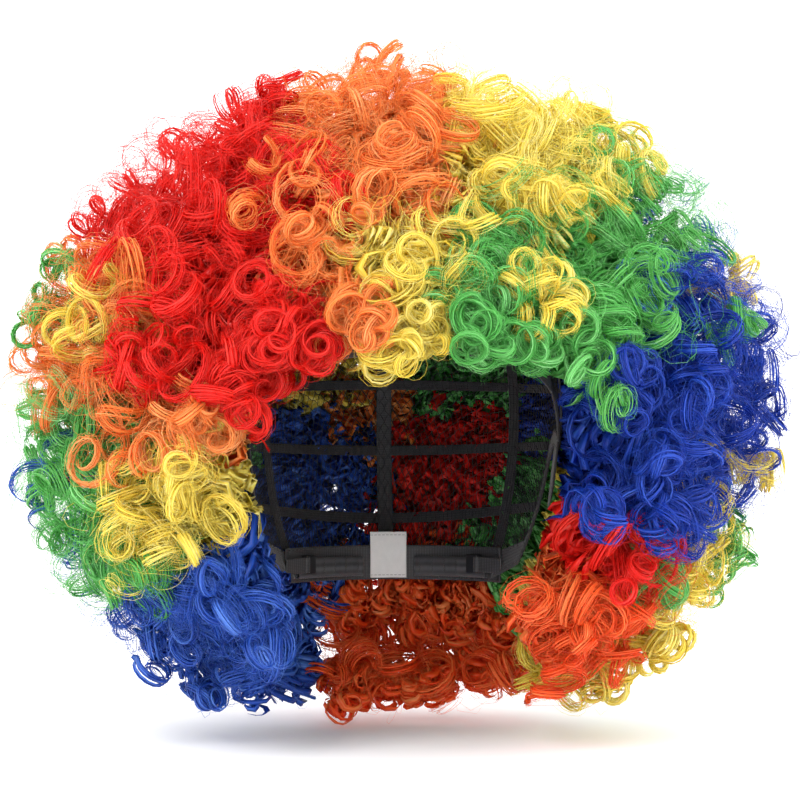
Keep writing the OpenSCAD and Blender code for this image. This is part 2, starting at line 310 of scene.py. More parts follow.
# Share of the curls that lie as rosettes on the surface, the rest hang, and how deep a lock is
ROSETTES = 0.62
LOCK_DEPTH = 50 * MM


def curls(d, height, rng, scale=1.0):
    """Locks whose tips lie along directions d, and height above the hair's own surface."""
    n = len(d)
    rosette = rng.random(n) < ROSETTES
    radius = np.where(rosette, rng.uniform(9.5, 15, n), rng.uniform(6, 10, n)) * MM * scale
    tip_r = curl_reach(d) + height - radius * 0.5
    tip = HUB + d * tip_r[:, None]
    start = np.maximum(tip_r - LOCK_DEPTH, root_reach(d) + 2 * MM)
    base = leaning(unit(d + rng.normal(0, 0.10, (n, 3)) + 0.06 * UP), start)
    hang = rng.normal(0, 0.9, (n, 3)) - UP
    hang = unit(hang - (hang * d).sum(1, keepdims=True) * d + 0.25 * d)
    axis = np.where(rosette[:, None], unit(d + rng.normal(0, 0.36, (n, 3))), hang)
    middle = base + (tip - base) * 0.5 + UP * rng.normal(0, 4, (n, 1)) * MM
    bend = np.where(rosette[:, None], middle, tip - hang * rng.uniform(20, 40, (n, 1)) * MM)
    turns = np.where(rosette, rng.uniform(1.7, 2.7, n), rng.uniform(2.0, 3.2, n))
    tighten = np.where(rosette, rng.uniform(0.25, 0.75, n), rng.uniform(0.0, 0.3, n))
    ease = np.where(rosette, 2.4, 1.4)
    return Locks(base, bend, tip, axis, radius, turns, tighten, ease, rng.uniform(2.0, 3.4, n) * MM * scale)


def add_curls(fibres, locks, rng, strands=11):
    """Flat strips, and strands of which a few stand off the lock."""
    wisps = 3
    grow(fibres, locks, rng, 7, *STRIP, (0.75, 0.3), 0.12 * MM)
    grow(fibres, locks, rng, strands - wisps, *STRAND, (0.6, 1.2), 0.5 * MM, FINE_SHADE)
    grow(fibres, locks, rng, wisps, *WISP, (1.2, 2.2), 0.9 * MM, FINE_SHADE)


def add_airy_curls(fibres, shell, rng):
    """Loose curls of a few strands that stand out from the rest."""
    n = int(shell.area(shell.outer) / AIRY_SPACING**2)
    p, _ = shell.sample(shell.outer, n, rng)
    locks = curls(unit(p - HUB), rng.uniform(-4, 8, n) * MM, rng)
    locks.bundle = locks.bundle * 1.5
    locks.axis = unit(rng.normal(0, 1, (n, 3)))
    grow(fibres, locks, rng, 9, *AIRY_STRAND, (0.2, 1.3), 0.6 * MM, FINE_SHADE)


class Shell:
    """The faces of a hair section's solid, sorted by which way they look."""

    def __init__(self, node):
        me = nodes[node].data
        me.calc_loop_triangles()
        v = np.array([p.co for p in me.vertices])
        t = np.array([tri.vertices for tri in me.loop_triangles])
        self.a, self.b, self.c = v[t[:, 0]], v[t[:, 1]], v[t[:, 2]]
        normal = np.cross(self.b - self.a, self.c - self.a)
        self.size = np.linalg.norm(normal, axis=1) / 2
        self.normal = unit(normal)
        mid = (self.a + self.b + self.c) / 3 - HUB
        d = unit(mid)
        up = (self.normal * d).sum(1)
        near_top = np.linalg.norm(mid, axis=1) > 0.9 * curl_reach(d)
        self.outer = (up > 0.5) & near_top
        # The wall that frames the face
        inward = -unit(mid * [1, 0, 1])
        towards_face = (self.normal * inward).sum(1) > 0.35
        self.edge = (np.abs(up) < 0.75) & towards_face & (self.normal[:, 1] < 0.2)
        # The faces towards the neck, below the cap
        self.inner = (up < -0.3) & (mid[:, 2] < FREE_LEVEL)

    def area(self, faces):
        return (self.size * faces).sum()

    def sample(self, faces, count, rng):
        weight = self.size * faces
        i = rng.choice(len(weight), count, p=weight / weight.sum())
        p, q = rng.random((2, count, 1))
        p, q = np.where(p + q > 1, 1 - p, p), np.where(p + q > 1, 1 - q, q)
        a = self.a[i]
        return a + p * (self.b[i] - a) + q * (self.c[i] - a), self.normal[i]


def stray_place(x, z):
    """The direction of a point of the hair's front that is seen at x, z from the front."""
    wide, ahead, high = HAIR_SIZE / MM
    z = z - HUB[2] / MM
    if z <= 0:
        high = HAIR_FALL / MM
    p = np.array([x / wide, z / high])
    p = p / max(1.0, np.linalg.norm(p) / 0.995)
    y = -math.sqrt(max(0.0, 1 - p @ p))
    return unit(np.array([p[0] * wide, y * ahead, p[1] * high]))


def add_strays(fibres, node, rng):
    for owner, x, z, half, proud in STRAYS:
        if owner == node:
            n = 2 + int((half / STRAY_SPACING) ** 2)
            d = unit(stray_place(x, z) + rng.normal(0, half / 2 / MEAN_RADIUS, (n, 3)))
            add_curls(fibres, curls(d, rng.uniform(-4, proud, n) * MM, rng, STRAY_SIZE), rng)


def clear_of_strays(node, d, rng):
    """Which directions are free of stray curls from other sections."""
    keep = np.ones(len(d), bool)
    for owner, x, z, half, _ in STRAYS:
        if slot_of[owner] != slot_of[node]:
            apart = np.linalg.norm((d - stray_place(x, z)) * curl_reach(d)[:, None], axis=1)
            keep &= (apart > half * 0.9 * MM) | (rng.random(len(d)) < 0.15)
    return keep


# How far apart the curls of each row are, in mm, their size, their fine strands,
# how far apart the waves under them are, and how far they mix with the next section's, in mm
ROWS = {
    "front": (14.8, 1.0, 10, 13.5, 5), "crown": (17.8, 1.06, 9, 13.5, 9),
    "back": (20.3, 1.14, 7, 11, 11), "nape": (19.2, 1.12, 7, 9.9, 11),
}
CENTRE = (14, 1.05, 8, 9, 11)
# The waves under the curls: most turns, waves in a lock, points along one, half width and
# half thickness, and the same where the hair is seen from inside, below the cap
WAVES = (2.4, 5, 10, 3.1 * MM, 0.3 * MM)
NECK_WAVES = (1.8, 6, 14, 2.4 * MM, 0.3 * MM)
# How far apart the other kinds of curl are, the stray ones in mm
STRAY_SPACING = 8
EDGE_SPACING = 11.5 * MM
NECK_SPACING = 13 * MM
AIRY_SPACING = 33 * MM
FRIZZ_SPACING = 8.6 * MM
# Least area of faces towards the neck that gets curls, and how low their tips may hang
NECK_AREA = 1000 * MM**2
NECK_LOW = -98 * MM
# Size of a stray curl beside the others, and the hair's mean radius in mm
STRAY_SIZE = 0.85
MEAN_RADIUS = 180


def build_section(node, seed):
    """All the hair of one colour section, in one piece or, by the face and the neck, in two."""
    rng = np.random.default_rng(seed)
    fibres = Fibres()
    shell = Shell(node)
    area = shell.area(shell.outer)

    row = CENTRE if node.endswith("centre") else ROWS[node.split("_")[1]]
    spacing, size, strands, under, mixed = row
    points, _ = shell.sample(shell.outer, int(area / (spacing * MM) ** 2), rng)
    d = unit(points + rng.normal(0, mixed * MM, points.shape) - HUB)
    d = d[clear_of_strays(node, d, rng)]
    add_curls(fibres, curls(d, -rng.beta(1.1, 2.2, len(d)) * 34 * MM, rng, size), rng, strands)

    add_strays(fibres, node, rng)
    if node.startswith("hair_front"):
        around_face = Fibres()
        add_edge_curls(around_face, shell, rng)
        add_hair(around_face, node, "edge")
    inside = shell.area(shell.inner) > NECK_AREA
    if inside:
        add_neck_curls(fibres, shell, rng)
    add_airy_curls(fibres, shell, rng)
    add_frizz(fibres, shell, rng)
    if inside:
        waves = Fibres()
        add_underhair(waves, shell, under, mixed, rng, NECK_WAVES)
        add_hair(waves, node, "waves")
    else:
        add_underhair(fibres, shell, under, mixed, rng, WAVES)
    add_hair(fibres, node, "curls")


def add_hair(fibres, node, kind):
    me = fibres.mesh(node.replace("hair", kind))
    ob = bpy.data.objects.new(me.name, me)
    bpy.context.scene.collection.objects.link(ob)
    me.materials.append(hair_material(SHADES.get(node, slot_of[node])))
    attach(ob, "root")
    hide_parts(node)


def add_edge_curls(fibres, shell, rng):
    """Curls on the wall of hair that frames the face, which hang over the forehead at its top."""
    faces = shell.edge * (1 + 1.3 * smooth(-shell.normal[:, 2], 0.3, 0.8))
    n = int(shell.area(faces) / EDGE_SPACING**2)
    p, normal = shell.sample(faces, n, rng)
    fringe = smooth(-normal[:, 2], 0.1, 0.8)[:, None]
    radius = rng.uniform(6.5, 10, n) * MM
    tip = p - normal * (radius * 1.1)[:, None] + normal * rng.uniform(-6, 1, (n, 1)) * MM
    tip = tip + fringe * (normal * rng.uniform(11, 30, (n, 1)) - [0, 5, 0]) * MM
    inward = unit(HUB - p)
    base = tip - normal * (16 + 10 * fringe) * MM + inward * 24 * MM - HUB
    base = HUB + unit(base) * np.maximum(np.linalg.norm(base, axis=1), root_reach(unit(base)))[:, None]
    axis = unit(normal * (1 - fringe) - fringe * [0, 0.8, 0] + rng.normal(0, 0.5, (n, 3)))
    bend = (base + tip) / 2 + UP * rng.normal(0, 4, (n, 1)) * MM
    locks = Locks(
        base, bend, tip, axis, radius, rng.uniform(1.5, 2.4, n), rng.uniform(0.2, 0.7, n),
        np.full(n, 2.2), rng.uniform(1.6, 2.6, n) * MM,
    )
    add_curls(fibres, locks, rng)


def add_neck_curls(fibres, shell, rng):
    """Curls on the inner side of the hair below the cap."""
    n = int(shell.area(shell.inner) / NECK_SPACING**2)
    p, normal = shell.sample(shell.inner, n, rng)
    radius = rng.uniform(6, 10, n) * MM
    tip = p - normal * (radius + rng.uniform(-2, 10, n) * MM)[:, None]
    tip[:, 2] = np.maximum(tip[:, 2], NECK_LOW)
    base = tip - normal * 22 * MM + UP * 16 * MM
    axis = unit(normal + rng.normal(0, 0.6, (n, 3)))
    locks = Locks(
        base, (base + tip) / 2, tip, axis, radius, rng.uniform(1.5, 2.4, n), rng.uniform(0.2, 0.7, n),
        np.full(n, 2.0), rng.uniform(2, 3.4, n) * MM,
    )
    grow(fibres, locks, rng, 8, *NECK_STRIP, (0.6, 0.6), 0.2 * MM)


def add_frizz(fibres, shell, rng):
    """Single strands that stand off the curls."""
    n = int(shell.area(shell.outer) / FRIZZ_SPACING**2)
    p, _ = shell.sample(shell.outer, n, rng)
    d = unit(p - HUB)
    tip = HUB + d * (curl_reach(d) - rng.beta(1.2, 2, n) * 22 * MM + 3 * MM)[:, None]
    base = tip - d * rng.uniform(20, 32, (n, 1)) * MM
    axis = unit(d + rng.normal(0, 0.9, (n, 3)))
    locks = Locks(
        base, (base + tip) / 2, tip, axis, rng.uniform(3, 12, n) * MM, rng.uniform(1, 3, n),
        rng.uniform(0.1, 0.6, n), np.full(n, 2.0), np.full(n, 4 * MM),
    )
    grow(fibres, locks, rng, 1, *FRIZZ, (0.2, 1.0), 0.8 * MM, FINE_SHADE)


def add_underhair(fibres, shell, spacing, mixed, rng, waves):
    """Dense waves between the cap and the curls, slimmer where they hang lowest."""
    turns, *bundle = waves
    n = int(shell.area(shell.outer) / (spacing * MM) ** 2)
    p, _ = shell.sample(shell.outer, n, rng)
    d = unit(p + rng.normal(0, mixed * 0.7 * MM, p.shape) - HUB)
    low = root_reach(d) + rng.uniform(0, 4, n) * MM
    root = leaning(d, low)
    top = leaning(d, low + rng.uniform(0.4, 0.66, n) * (curl_reach(d) - low))
    axis = unit(d + rng.normal(0, 0.4, (n, 3)))
    slim = 1 - 0.4 * smooth(-d[:, 2], 0.6, 0.8)
    locks = Locks(
        root, (root + top) / 2, top, axis, rng.uniform(5, 9, n) * slim * MM, rng.uniform(1.2, turns, n),
        rng.uniform(0, 0.3, n), np.full(n, 1.2), np.full(n, 7 * MM),
    )
    grow(fibres, locks, rng, *bundle, (0.5, 1.0), 0.4 * MM)


# ---- Cap ------------------------------------------------------------------------------------

# Places on the cap are a turn from the front towards the wearer's left and a height above the
# hub's level, both in degrees, and a stand-off from the cap's inner surface, in mm.
# Height of the rim, and how high the band along it is, by angle from the front
RIM_TURN = [0, 40, 58, 72, 80, 94, 100, 108, 126, 180]
RIM_HEIGHT = [17, 14, 6, -10, -14, -12, -18, -50, -53, -53]
BAND_TURN = [0, 90, 108, 126, 180]
BAND_HEIGHT = [7, 6, 7, 8, 8]
RIB_W = 8 * MM
RIB_TOP = 66
WEFT_H = 3
# Middle, half width and lowest point of each ear tab
EAR_TURN = 82
EAR_HALF = 9
EAR_LOW = -33
# How far the middles of the bands, ribs and weft tapes stand off
BAND_OFF, RIB_OFF, WEFT_OFF = 0.9, 2.2, 3.3
# Height, start and end of each weft tape
WEFTS = [(50, 0, 360), (36, 0, 360), (26, 0, 360), (8, 72, 288), (-12, 108, 252), (-32, 110, 250)]
RIBS = {
    "rib_front": 0, "rib_front_left": 40, "rib_front_right": -40, "rib_side_left": 84,
    "rib_side_right": -84, "rib_back_left": 132, "rib_back_right": -132, "rib_back": 180,
}


def from_front(turn):
    return np.degrees(np.arccos(np.cos(np.radians(turn))))


def rim(turn):
    return np.interp(from_front(turn), RIM_TURN, RIM_HEIGHT)


def band_top(turn):
    return rim(turn) + np.interp(from_front(turn), BAND_TURN, BAND_HEIGHT)


def cap_dir(turn, height):
    turn, height = np.broadcast_arrays(np.radians(turn), np.radians(height))
    flat = np.cos(height)
    return np.stack([flat * np.sin(turn), -flat * np.cos(turn), np.sin(height)], axis=-1)


def cap_point(turn, height, off):
    """A point that stands off millimetres outside the cap's inner surface."""
    d = cap_dir(turn, height)
    grown = CAP_SIZE + off * MM
    return HUB + d * reach(d, grown, grown[1], CAP_FALL + off * MM)[..., None]


def to_mesh(name, verts, faces, uv, weave):
    """A mesh with a map for baking and a map in millimetres along and across the cloth."""
    me = bpy.data.meshes.new(name)
    me.from_pydata([tuple(v) for v in verts], [], faces)
    bake = me.uv_layers.new(name=UV_NAME)
    cloth = me.uv_layers.new(name="weave")
    for loop in me.loops:
        bake.data[loop.index].uv = uv[loop.vertex_index]
        cloth.data[loop.index].uv = weave[loop.vertex_index]
    me.polygons.foreach_set("use_smooth", np.ones(len(me.polygons), bool))
    me.update()
    return me


def loops_mesh(name, rings, length, girth):
    """Closes a row of rings, (rings, points, 3), into one solid."""
    n, m, _ = rings.shape
    first = rings[0] - rings[0].mean(axis=0)
    ahead = rings[1].mean(axis=0) - rings[0].mean(axis=0)
    if np.cross(first, np.roll(first, -1, axis=0)).sum(axis=0) @ ahead < 0:
        rings = rings[:, ::-1]
    faces = []
    for i in range(n - 1):
        for j in range(m):
            k = (j + 1) % m
            faces.append((i * m + j, i * m + k, (i + 1) * m + k, (i + 1) * m + j))
    faces.append(tuple(range(m))[::-1])
    faces.append(tuple((n - 1) * m + j for j in range(m)))
    u, v = np.meshgrid(np.linspace(0, 1, n), np.linspace(0, 1, m), indexing="ij")
    uv = np.stack([u, v], axis=-1).reshape(-1, 2)
    return to_mesh(name, rings.reshape(-1, 3), faces, uv * 0.98 + 0.01, uv * [length / MM, girth / MM])


def length_of(points):
    return np.linalg.norm(np.diff(points, axis=0), axis=1).sum()


def tape(name, low, high, out, thick, across=9, ridges=0, ridge=0.0, swell=0.0):
    """A closed strip of cloth between two edges, with rounded edges and ridges along it."""
    v = -np.cos(np.linspace(0, math.pi, across)) if ridges == 0 else np.linspace(-1, 1, across)
    edge = np.sqrt(np.clip(1 - np.abs(v) ** 10, 0.04, 1))
    half = thick / 2 * edge + ridge * (np.cos(v * math.pi * ridges) - 1) / 2
    x = (0.5 + 0.5 * v)[None, :, None]
    middle = low[:, None] * (1 - x) + high[:, None] * x + out[:, None] * swell * (1 - v**2)[None, :, None]
    face, back = middle + out[:, None] * half[None, :, None], middle - out[:, None] * half[None, :, None]
    rings = np.concatenate([face, back[:, ::-1]], axis=1)
    girth = 2 * np.linalg.norm(high[0] - low[0])
    return loops_mesh(name, rings, length_of((low + high) / 2), girth)


def add_piece(me, slot, *replaced, body="root"):
    ob = bpy.data.objects.new(me.name, me)
    bpy.context.scene.collection.objects.link(ob)
    me.materials.append(cloth_material(slot) if slot in CLOTHS else plain_material(slot))
    if body:
        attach(ob, body)
    if replaced:
        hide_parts(*replaced)
    return ob


class Thread:
    """Collects stitches, and makes one piece of them."""

    def __init__(self):
        self.fibres = Fibres()
        self.rng = np.random.default_rng(5)

    def run(self, line, out, radius=0.14 * MM, stitch=2.6 * MM, gap=0.9 * MM):
        """A row of stitches along a line of points."""
        steps = np.concatenate([[0], np.cumsum(np.linalg.norm(np.diff(line, axis=0), axis=1))])
        count = max(1, int(steps[-1] / (stitch + gap)))
        at = (np.arange(count)[:, None] * (stitch + gap) + np.linspace(0, stitch, 5)[None]) % steps[-1]
        at = np.clip(at, 0, steps[-1])
        curve = np.stack([np.interp(at, steps, line[:, i]) for i in range(3)], axis=-1)
        away = np.stack([np.interp(at, steps, out[:, i]) for i in range(3)], axis=-1)
        curve = curve + away * (radius * 1.1 * np.array([-0.6, 0.7, 1, 0.7, -0.6]))[None, :, None]
        self.add(curve, away, radius)

    def zigzag(self, low, high, out, teeth, radius=0.13 * MM):
        """One thread that runs to and fro between two lines."""
        at = np.linspace(0, len(low) - 1, teeth * 4 + 1)
        index = np.arange(len(low))

        def take(x):
            return np.stack([np.interp(at, index, x[:, i]) for i in range(3)], axis=-1)

        side = (0.5 + 0.5 * np.sin(np.arange(len(at)) * math.pi / 2))[:, None]
        curve = take(low) * (1 - side) + take(high) * side
        self.add(curve[None], take(out)[None], radius)

    def add(self, curves, flat, radius):
        n = len(curves)
        size = np.full(n, radius)
        self.fibres.add(curves, flat, size, size, 4, self.rng.integers(0, COLUMNS, n), (0.8, 0.8))


def out_of(points):
    """Directions that point out of the cap."""
    return unit((points - HUB) / (CAP_SIZE / CAP_SIZE[0]) ** 2)


def build_net():
    """Knitted net over the whole cap: a lattice of threads that ends under the bands."""
    fibres = Fibres()
    rng = np.random.default_rng(3)
    pitch, step, radius = 3.0, 2.5, 0.17 * MM
    lines = np.arange(-144, 144.1, pitch)
    along = np.arange(-146, 146.1, step)
    for swap in (False, True):
        for k, c in enumerate(lines):
            u = np.full(len(along), c) + 0.35 * np.sin(along * TURN / pitch / 2 + k * math.pi)
            a, b = (along, u) if swap else (u, along)
            a, b = (a - b) * math.sqrt(0.5), (a + b) * math.sqrt(0.5)
            height, turn = 90 - np.hypot(a, b), np.degrees(np.arctan2(a, -b))
            inside = (height > band_top(turn) - 2.0) & (height > -56)
            runs = np.split(np.arange(len(along)), np.flatnonzero(np.diff(inside.astype(int))) + 1)
            for run in runs:
                if inside[run[0]] and len(run) > 2:
                    points = cap_point(turn[run], height[run], 0.45 + 0.12 * (1 if swap else -1))
                    size = np.array([radius])
                    column = rng.integers(0, COLUMNS, 1)
                    fibres.add(points[None], out_of(points)[None], size, size, 4, column, (1, 1))
    add_piece(fibres.mesh("net"), "cap_net", "crown_net")


def band(name, node, start, end, thread):
    """Part of the band along the rim, with gathers and two rows of stitches on both faces."""
    turn = np.linspace(start, end, int(abs(end - start) * 0.8))
    gather = 0.10 * np.sin(np.radians(turn) * 150)
    low, high = cap_point(turn, rim(turn), BAND_OFF), cap_point(turn, band_top(turn), BAND_OFF)
    out = out_of((low + high) / 2)
    low, high = low + out * gather[:, None] * MM, high - out * gather[:, None] * MM
    add_piece(tape(name, low, high, out, 1.3 * MM, 11, swell=0.15 * MM), "cap_band", node)
    for share, off in ((0.12, 0.62), (0.86, 0.62), (0.12, -0.62), (0.86, -0.62)):
        line = low * (1 - share) + high * share + out * off * MM
        thread.run(line, out * np.sign(off))


def build_ear_tab(name, node, side, thread):
    """A rounded tab that hangs in front of the ear."""
    middle = side * EAR_TURN
    turn = np.linspace(middle - EAR_HALF, middle + EAR_HALF, 19)
    rise = 9 * np.abs((turn - middle) / EAR_HALF) ** 2.4
    low = cap_point(turn, EAR_LOW + rise, BAND_OFF)
    high = cap_point(turn, rim(turn) + 1.5, BAND_OFF)
    out = out_of((low + high) / 2)
    add_piece(tape(name, low, high, out, 1.1 * MM, 11), "cap_band", node)
    for off in (0.52, -0.52):
        line = low * 0.88 + high * 0.12 + out * off * MM
        thread.run(line, out * np.sign(off), 0.12 * MM, 2.0 * MM, 0.8 * MM)


def build_rib(node, turn, thread):
    """Ridged elastic from the rim to the crown, with zigzag stitches along its edges."""
    low = rim(turn) + (9 if abs(turn) > 126 else 1)
    height = np.linspace(low, RIB_TOP, int((RIB_TOP - low) / 2.2))
    middle = cap_point(turn, height, RIB_OFF)
    width = np.degrees(RIB_W / np.linalg.norm(middle[:, :2], axis=1))
    left = cap_point(turn - width / 2, height, RIB_OFF)
    right = cap_point(turn + width / 2, height, RIB_OFF)
    out = out_of(middle)
    add_piece(tape("elastic_" + node, left, right, out, 0.55 * MM, 33, 16, 0.16 * MM), "cap_rib", node)
    for share in (0.10, 0.80):
        a = left * (1 - share) + right * share - out * 0.34 * MM
        b = left * (0.90 - share) + right * (share + 0.10) - out * 0.34 * MM
        thread.zigzag(a, b, -out, len(height))


def build_weft(node, height, start, end, thread):
    """Tape that holds the roots of the hair, with three rows of stitches."""
    turn = np.linspace(start, end, int((end - start) / 3) + 1)
    low = cap_point(turn, height - WEFT_H / 2, WEFT_OFF)
    high = cap_point(turn, height + WEFT_H / 2, WEFT_OFF)
    out = out_of((low + high) / 2)
    add_piece(tape("sewn_" + node, low, high, out, 0.7 * MM, 9), "weft", node)
    for share in (0.25, 0.5, 0.75):
        thread.run(low * (1 - share) + high * share - out * 0.36 * MM, -out, 0.12 * MM, 1.9 * MM, 0.7 * MM)


# ---- Nape -----------------------------------------------------------------------------------

# Angles at the nape are in degrees from straight back.
# Centre of the nape's curve, and the band's level, inner radius, width, half angle and thickness
NAPE_C = np.array([0, 10, 0]) * MM
NAPE_Z, NAPE_R, NAPE_H = -39 * MM, 62 * MM, 18 * MM
NAPE_END = 62
NAPE_T = 1.2 * MM
# The loop tape's thickness, the inner faces of its two layers, its fold, its top and its ends
TAPE_T = 0.5 * MM
TAPE_OUT, TAPE_IN = NAPE_R - 0.1 * MM - TAPE_T, NAPE_R - 3.1 * MM
TAPE_LOW, TAPE_TOP = NAPE_Z - 7 * MM, NAPE_Z + 3.4 * MM
LOOPS_FROM, LOOPS_TO = 13, 54
# Radius of the hook's plate, and the hook's angle and width
PLATE = NAPE_R - 4.4 * MM
HOOK_AT, HOOK_W = 46, 7
# Where the strap leaves the curve, its width and its thickness
STRAP_BEND, STRAP_H, STRAP_T = 52, 8 * MM, 0.8 * MM


def nape_point(angle, r, z):
    """A point by its angle from the centre of the nape towards the wearer's left."""
    angle, r, z = np.broadcast_arrays(np.radians(angle), r, z)
    return NAPE_C + np.stack([r * np.sin(angle), r * np.cos(angle), z], axis=-1)


def nape_out(angle):
    return nape_point(angle, 1.0, 0.0) - NAPE_C


def build_nape_band(thread):
    angle = np.linspace(-NAPE_END, NAPE_END, 121)
    r = NAPE_R + NAPE_T / 2 + 0.05 * MM * np.sin(angle * 2.2)
    low, high = nape_point(angle, r, NAPE_Z - NAPE_H / 2), nape_point(angle, r, NAPE_Z + NAPE_H / 2)
    out = nape_out(angle)
    add_piece(tape("elastic_nape_band", low, high, out, 1.05 * MM, 45, 22, 0.2 * MM), "elastic", "nape_band")
    for share in (0.06, 0.94):
        thread.run(low * (1 - share) + high * share - out * 0.56 * MM, -out)
    z = np.linspace(NAPE_Z - 8 * MM, NAPE_Z + 8 * MM, 14)
    for side in (1, -1):
        a = nape_point(side * (NAPE_END - 3), NAPE_R - 0.05 * MM, z)
        b = nape_point(side * (NAPE_END - 1), NAPE_R - 0.05 * MM, z)
        thread.zigzag(a, b, -np.repeat(nape_out(side * (NAPE_END - 2))[None], len(z), 0), len(z))


def build_loop_tape(side, thread):
    """Tape folded to a trough, with bars of stitches across its inner layer."""
    name = "left" if side > 0 else "right"
    angle = side * np.linspace(LOOPS_FROM, LOOPS_TO, 42)
    fold = (TAPE_OUT + TAPE_T - TAPE_IN) / 2
    centre = TAPE_IN + fold
    bend = np.linspace(math.pi, TURN, 13)

    def wall(width, sign):
        r = [centre - sign * width, *(centre + sign * width * np.cos(bend)), centre + sign * width]
        z = [TAPE_TOP, *(TAPE_LOW + fold + width * np.sin(bend)), TAPE_TOP]
        return r, z

    outer, inner = wall(fold, 1), wall(fold - TAPE_T, -1)
    r, z = np.array(outer[0] + inner[0]), np.array(outer[1] + inner[1])
    rings = nape_point(angle[:, None], r[None], z[None])
    me = loops_mesh(f"trough_tape_{name}", rings, 41 * MM, 40 * MM)
    add_piece(me, "loop_tape", f"loop_tape_{name}")
    for bar in np.arange(LOOPS_FROM + 3, LOOPS_TO, 6.5) * side:
        at = np.linspace(bar - 0.45, bar + 0.45, 2)
        z = np.linspace(TAPE_LOW + 2.2 * MM, TAPE_TOP - 0.5 * MM, 14)
        a, b = nape_point(at[0], TAPE_IN - 0.02 * MM, z), nape_point(at[1], TAPE_IN - 0.02 * MM, z)
        thread.zigzag(a, b, -np.repeat(nape_out(bar)[None], 14, 0), 14, 0.1 * MM)


def build_hook(side):
    """The CAD hook with its moulded edges rounded."""
    name = "left" if side > 0 else "right"
    me = nodes[f"adjuster_hook_{name}"].data.copy()
    me.name = f"moulded_hook_{name}"
    me.materials.clear()
    bm = bmesh.new()
    bm.from_mesh(me)
    bmesh.ops.remove_doubles(bm, verts=bm.verts, dist=0.01 * MM)
    bmesh.ops.dissolve_limit(bm, angle_limit=math.radians(3), verts=bm.verts, edges=bm.edges)
    sharp = [e for e in bm.edges if len(e.link_faces) == 2 and e.calc_face_angle() > math.radians(30)]
    bmesh.ops.bevel(bm, geom=sharp, offset=0.22 * MM, segments=3, profile=0.5, affect="EDGES")
    bm.to_mesh(me)
    bm.free()
    add_piece(me, "hook", f"adjuster_hook_{name}", body=f"{name}_hook")


def build_strap(side, thread):
    """Elastic that folds over the hook's outer bar and runs round to the side band."""
    name = "left" if side > 0 else "right"
    start = HOOK_AT + HOOK_W / 2 - 1.6
    angle = np.linspace(start, STRAP_BEND, 8)
    middle = PLATE + 0.1 * MM + STRAP_T / 2
    r = middle - 0.95 * MM * (1 - smooth(angle, start + 1.4, start + 2.8))
    arc, out = nape_point(side * angle, r, NAPE_Z), nape_out(side * angle)
    on = nape_point(side * STRAP_BEND, middle, NAPE_Z)
    ahead = np.array([math.cos(math.radians(STRAP_BEND)) * side, -math.sin(math.radians(STRAP_BEND)), 0])
    run = np.linspace(0.6, 15, 12)[:, None] * MM
    line = np.concatenate([arc, on + run * ahead])
    out = np.concatenate([out, np.repeat(out[-1:], len(run), 0)])
    half = UP * STRAP_H / 2
    me = tape(f"elastic_strap_{name}", line - half, line + half, out, STRAP_T * 0.8, 25, 12, 0.14 * MM)
    ob = add_piece(me, "elastic", f"adjuster_strap_{name}", body=None)
    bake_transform(ob)


def build_label(thread):
    """A blank satin label, hemmed at both ends and sewn in at the top."""
    angle = np.linspace(-9, 9, 25)
    r = NAPE_R - 0.75 * MM
    low = nape_point(angle, r - 0.5 * MM + 0.15 * MM * np.sin(angle * 0.7), NAPE_Z - 8 * MM)
    high = nape_point(angle, r, NAPE_Z + 16 * MM)
    out = nape_out(angle)
    me = tape("satin_label", low, high, out, 0.3 * MM, 17, swell=-0.6 * MM)
    ob = add_piece(me, "label", "care_label")
    for share in (0.06, 0.93):
        swell = -0.6 * MM * (1 - (2 * share - 1) ** 2)
        line = low * (1 - share) + high * share + out * (swell - 0.16 * MM)
        thread.run(line, -out, 0.1 * MM, 1.5 * MM, 0.6 * MM)


def build_cap():
    thread = Thread()
    build_net()
    band("band_front", "front_band", -57, 57, thread)
    band("band_side_left", "side_band_left", 57, 128, thread)
    band("band_side_right", "side_band_right", -128, -57, thread)
    build_ear_tab("ear_cloth_left", "ear_tab_left", 1, thread)
    build_ear_tab("ear_cloth_right", "ear_tab_right", -1, thread)
    for node, turn in RIBS.items():
        build_rib(node, turn, thread)
    for number, (height, start, end) in enumerate(WEFTS, 1):
        build_weft(f"weft_tape_{number}", height, start, end, thread)
    build_nape_band(thread)
    for side in (1, -1):
        build_loop_tape(side, thread)
        build_hook(side)
        build_strap(side, thread)
    build_label(thread)
    add_piece(thread.fibres.mesh("stitching"), "cap_band")


# ---- Materials ------------------------------------------------------------------------------

HAIR_COLOURS = {
    "hair_red": ((0.78, 0.007, 0.004), (0.93, 0.014, 0.007), (1.0, 0.075, 0.045)),
    "hair_orange": ((0.98, 0.20, 0.022), (1.0, 0.37, 0.075), (1.0, 0.60, 0.25)),
    "hair_orange_deep": ((0.96, 0.075, 0.008), (1.0, 0.145, 0.022), (1.0, 0.34, 0.10)),
    "hair_yellow": ((0.95, 0.71, 0.055), (1.0, 0.88, 0.16), (1.0, 0.95, 0.46)),
    "hair_green": ((0.07, 0.40, 0.06), (0.15, 0.62, 0.13), (0.42, 0.86, 0.38)),
    "hair_blue": ((0.004, 0.025, 0.28), (0.009, 0.060, 0.54), (0.065, 0.19, 0.84)),
    "hair_blue_pale": ((0.012, 0.055, 0.36), (0.028, 0.125, 0.64), (0.16, 0.36, 0.90)),
}
# The orange beside the chin and under the back is deeper, and the blue on the right is paler
SHADES = {
    "hair_front_orange_left": "hair_orange_deep", "hair_back_orange_low": "hair_orange_deep",
    "hair_front_blue_right": "hair_blue_pale", "hair_crown_blue_right": "hair_blue_pale",
    "hair_back_blue_right": "hair_blue_pale", "hair_nape_blue_right": "hair_blue_pale",
}
made = {}


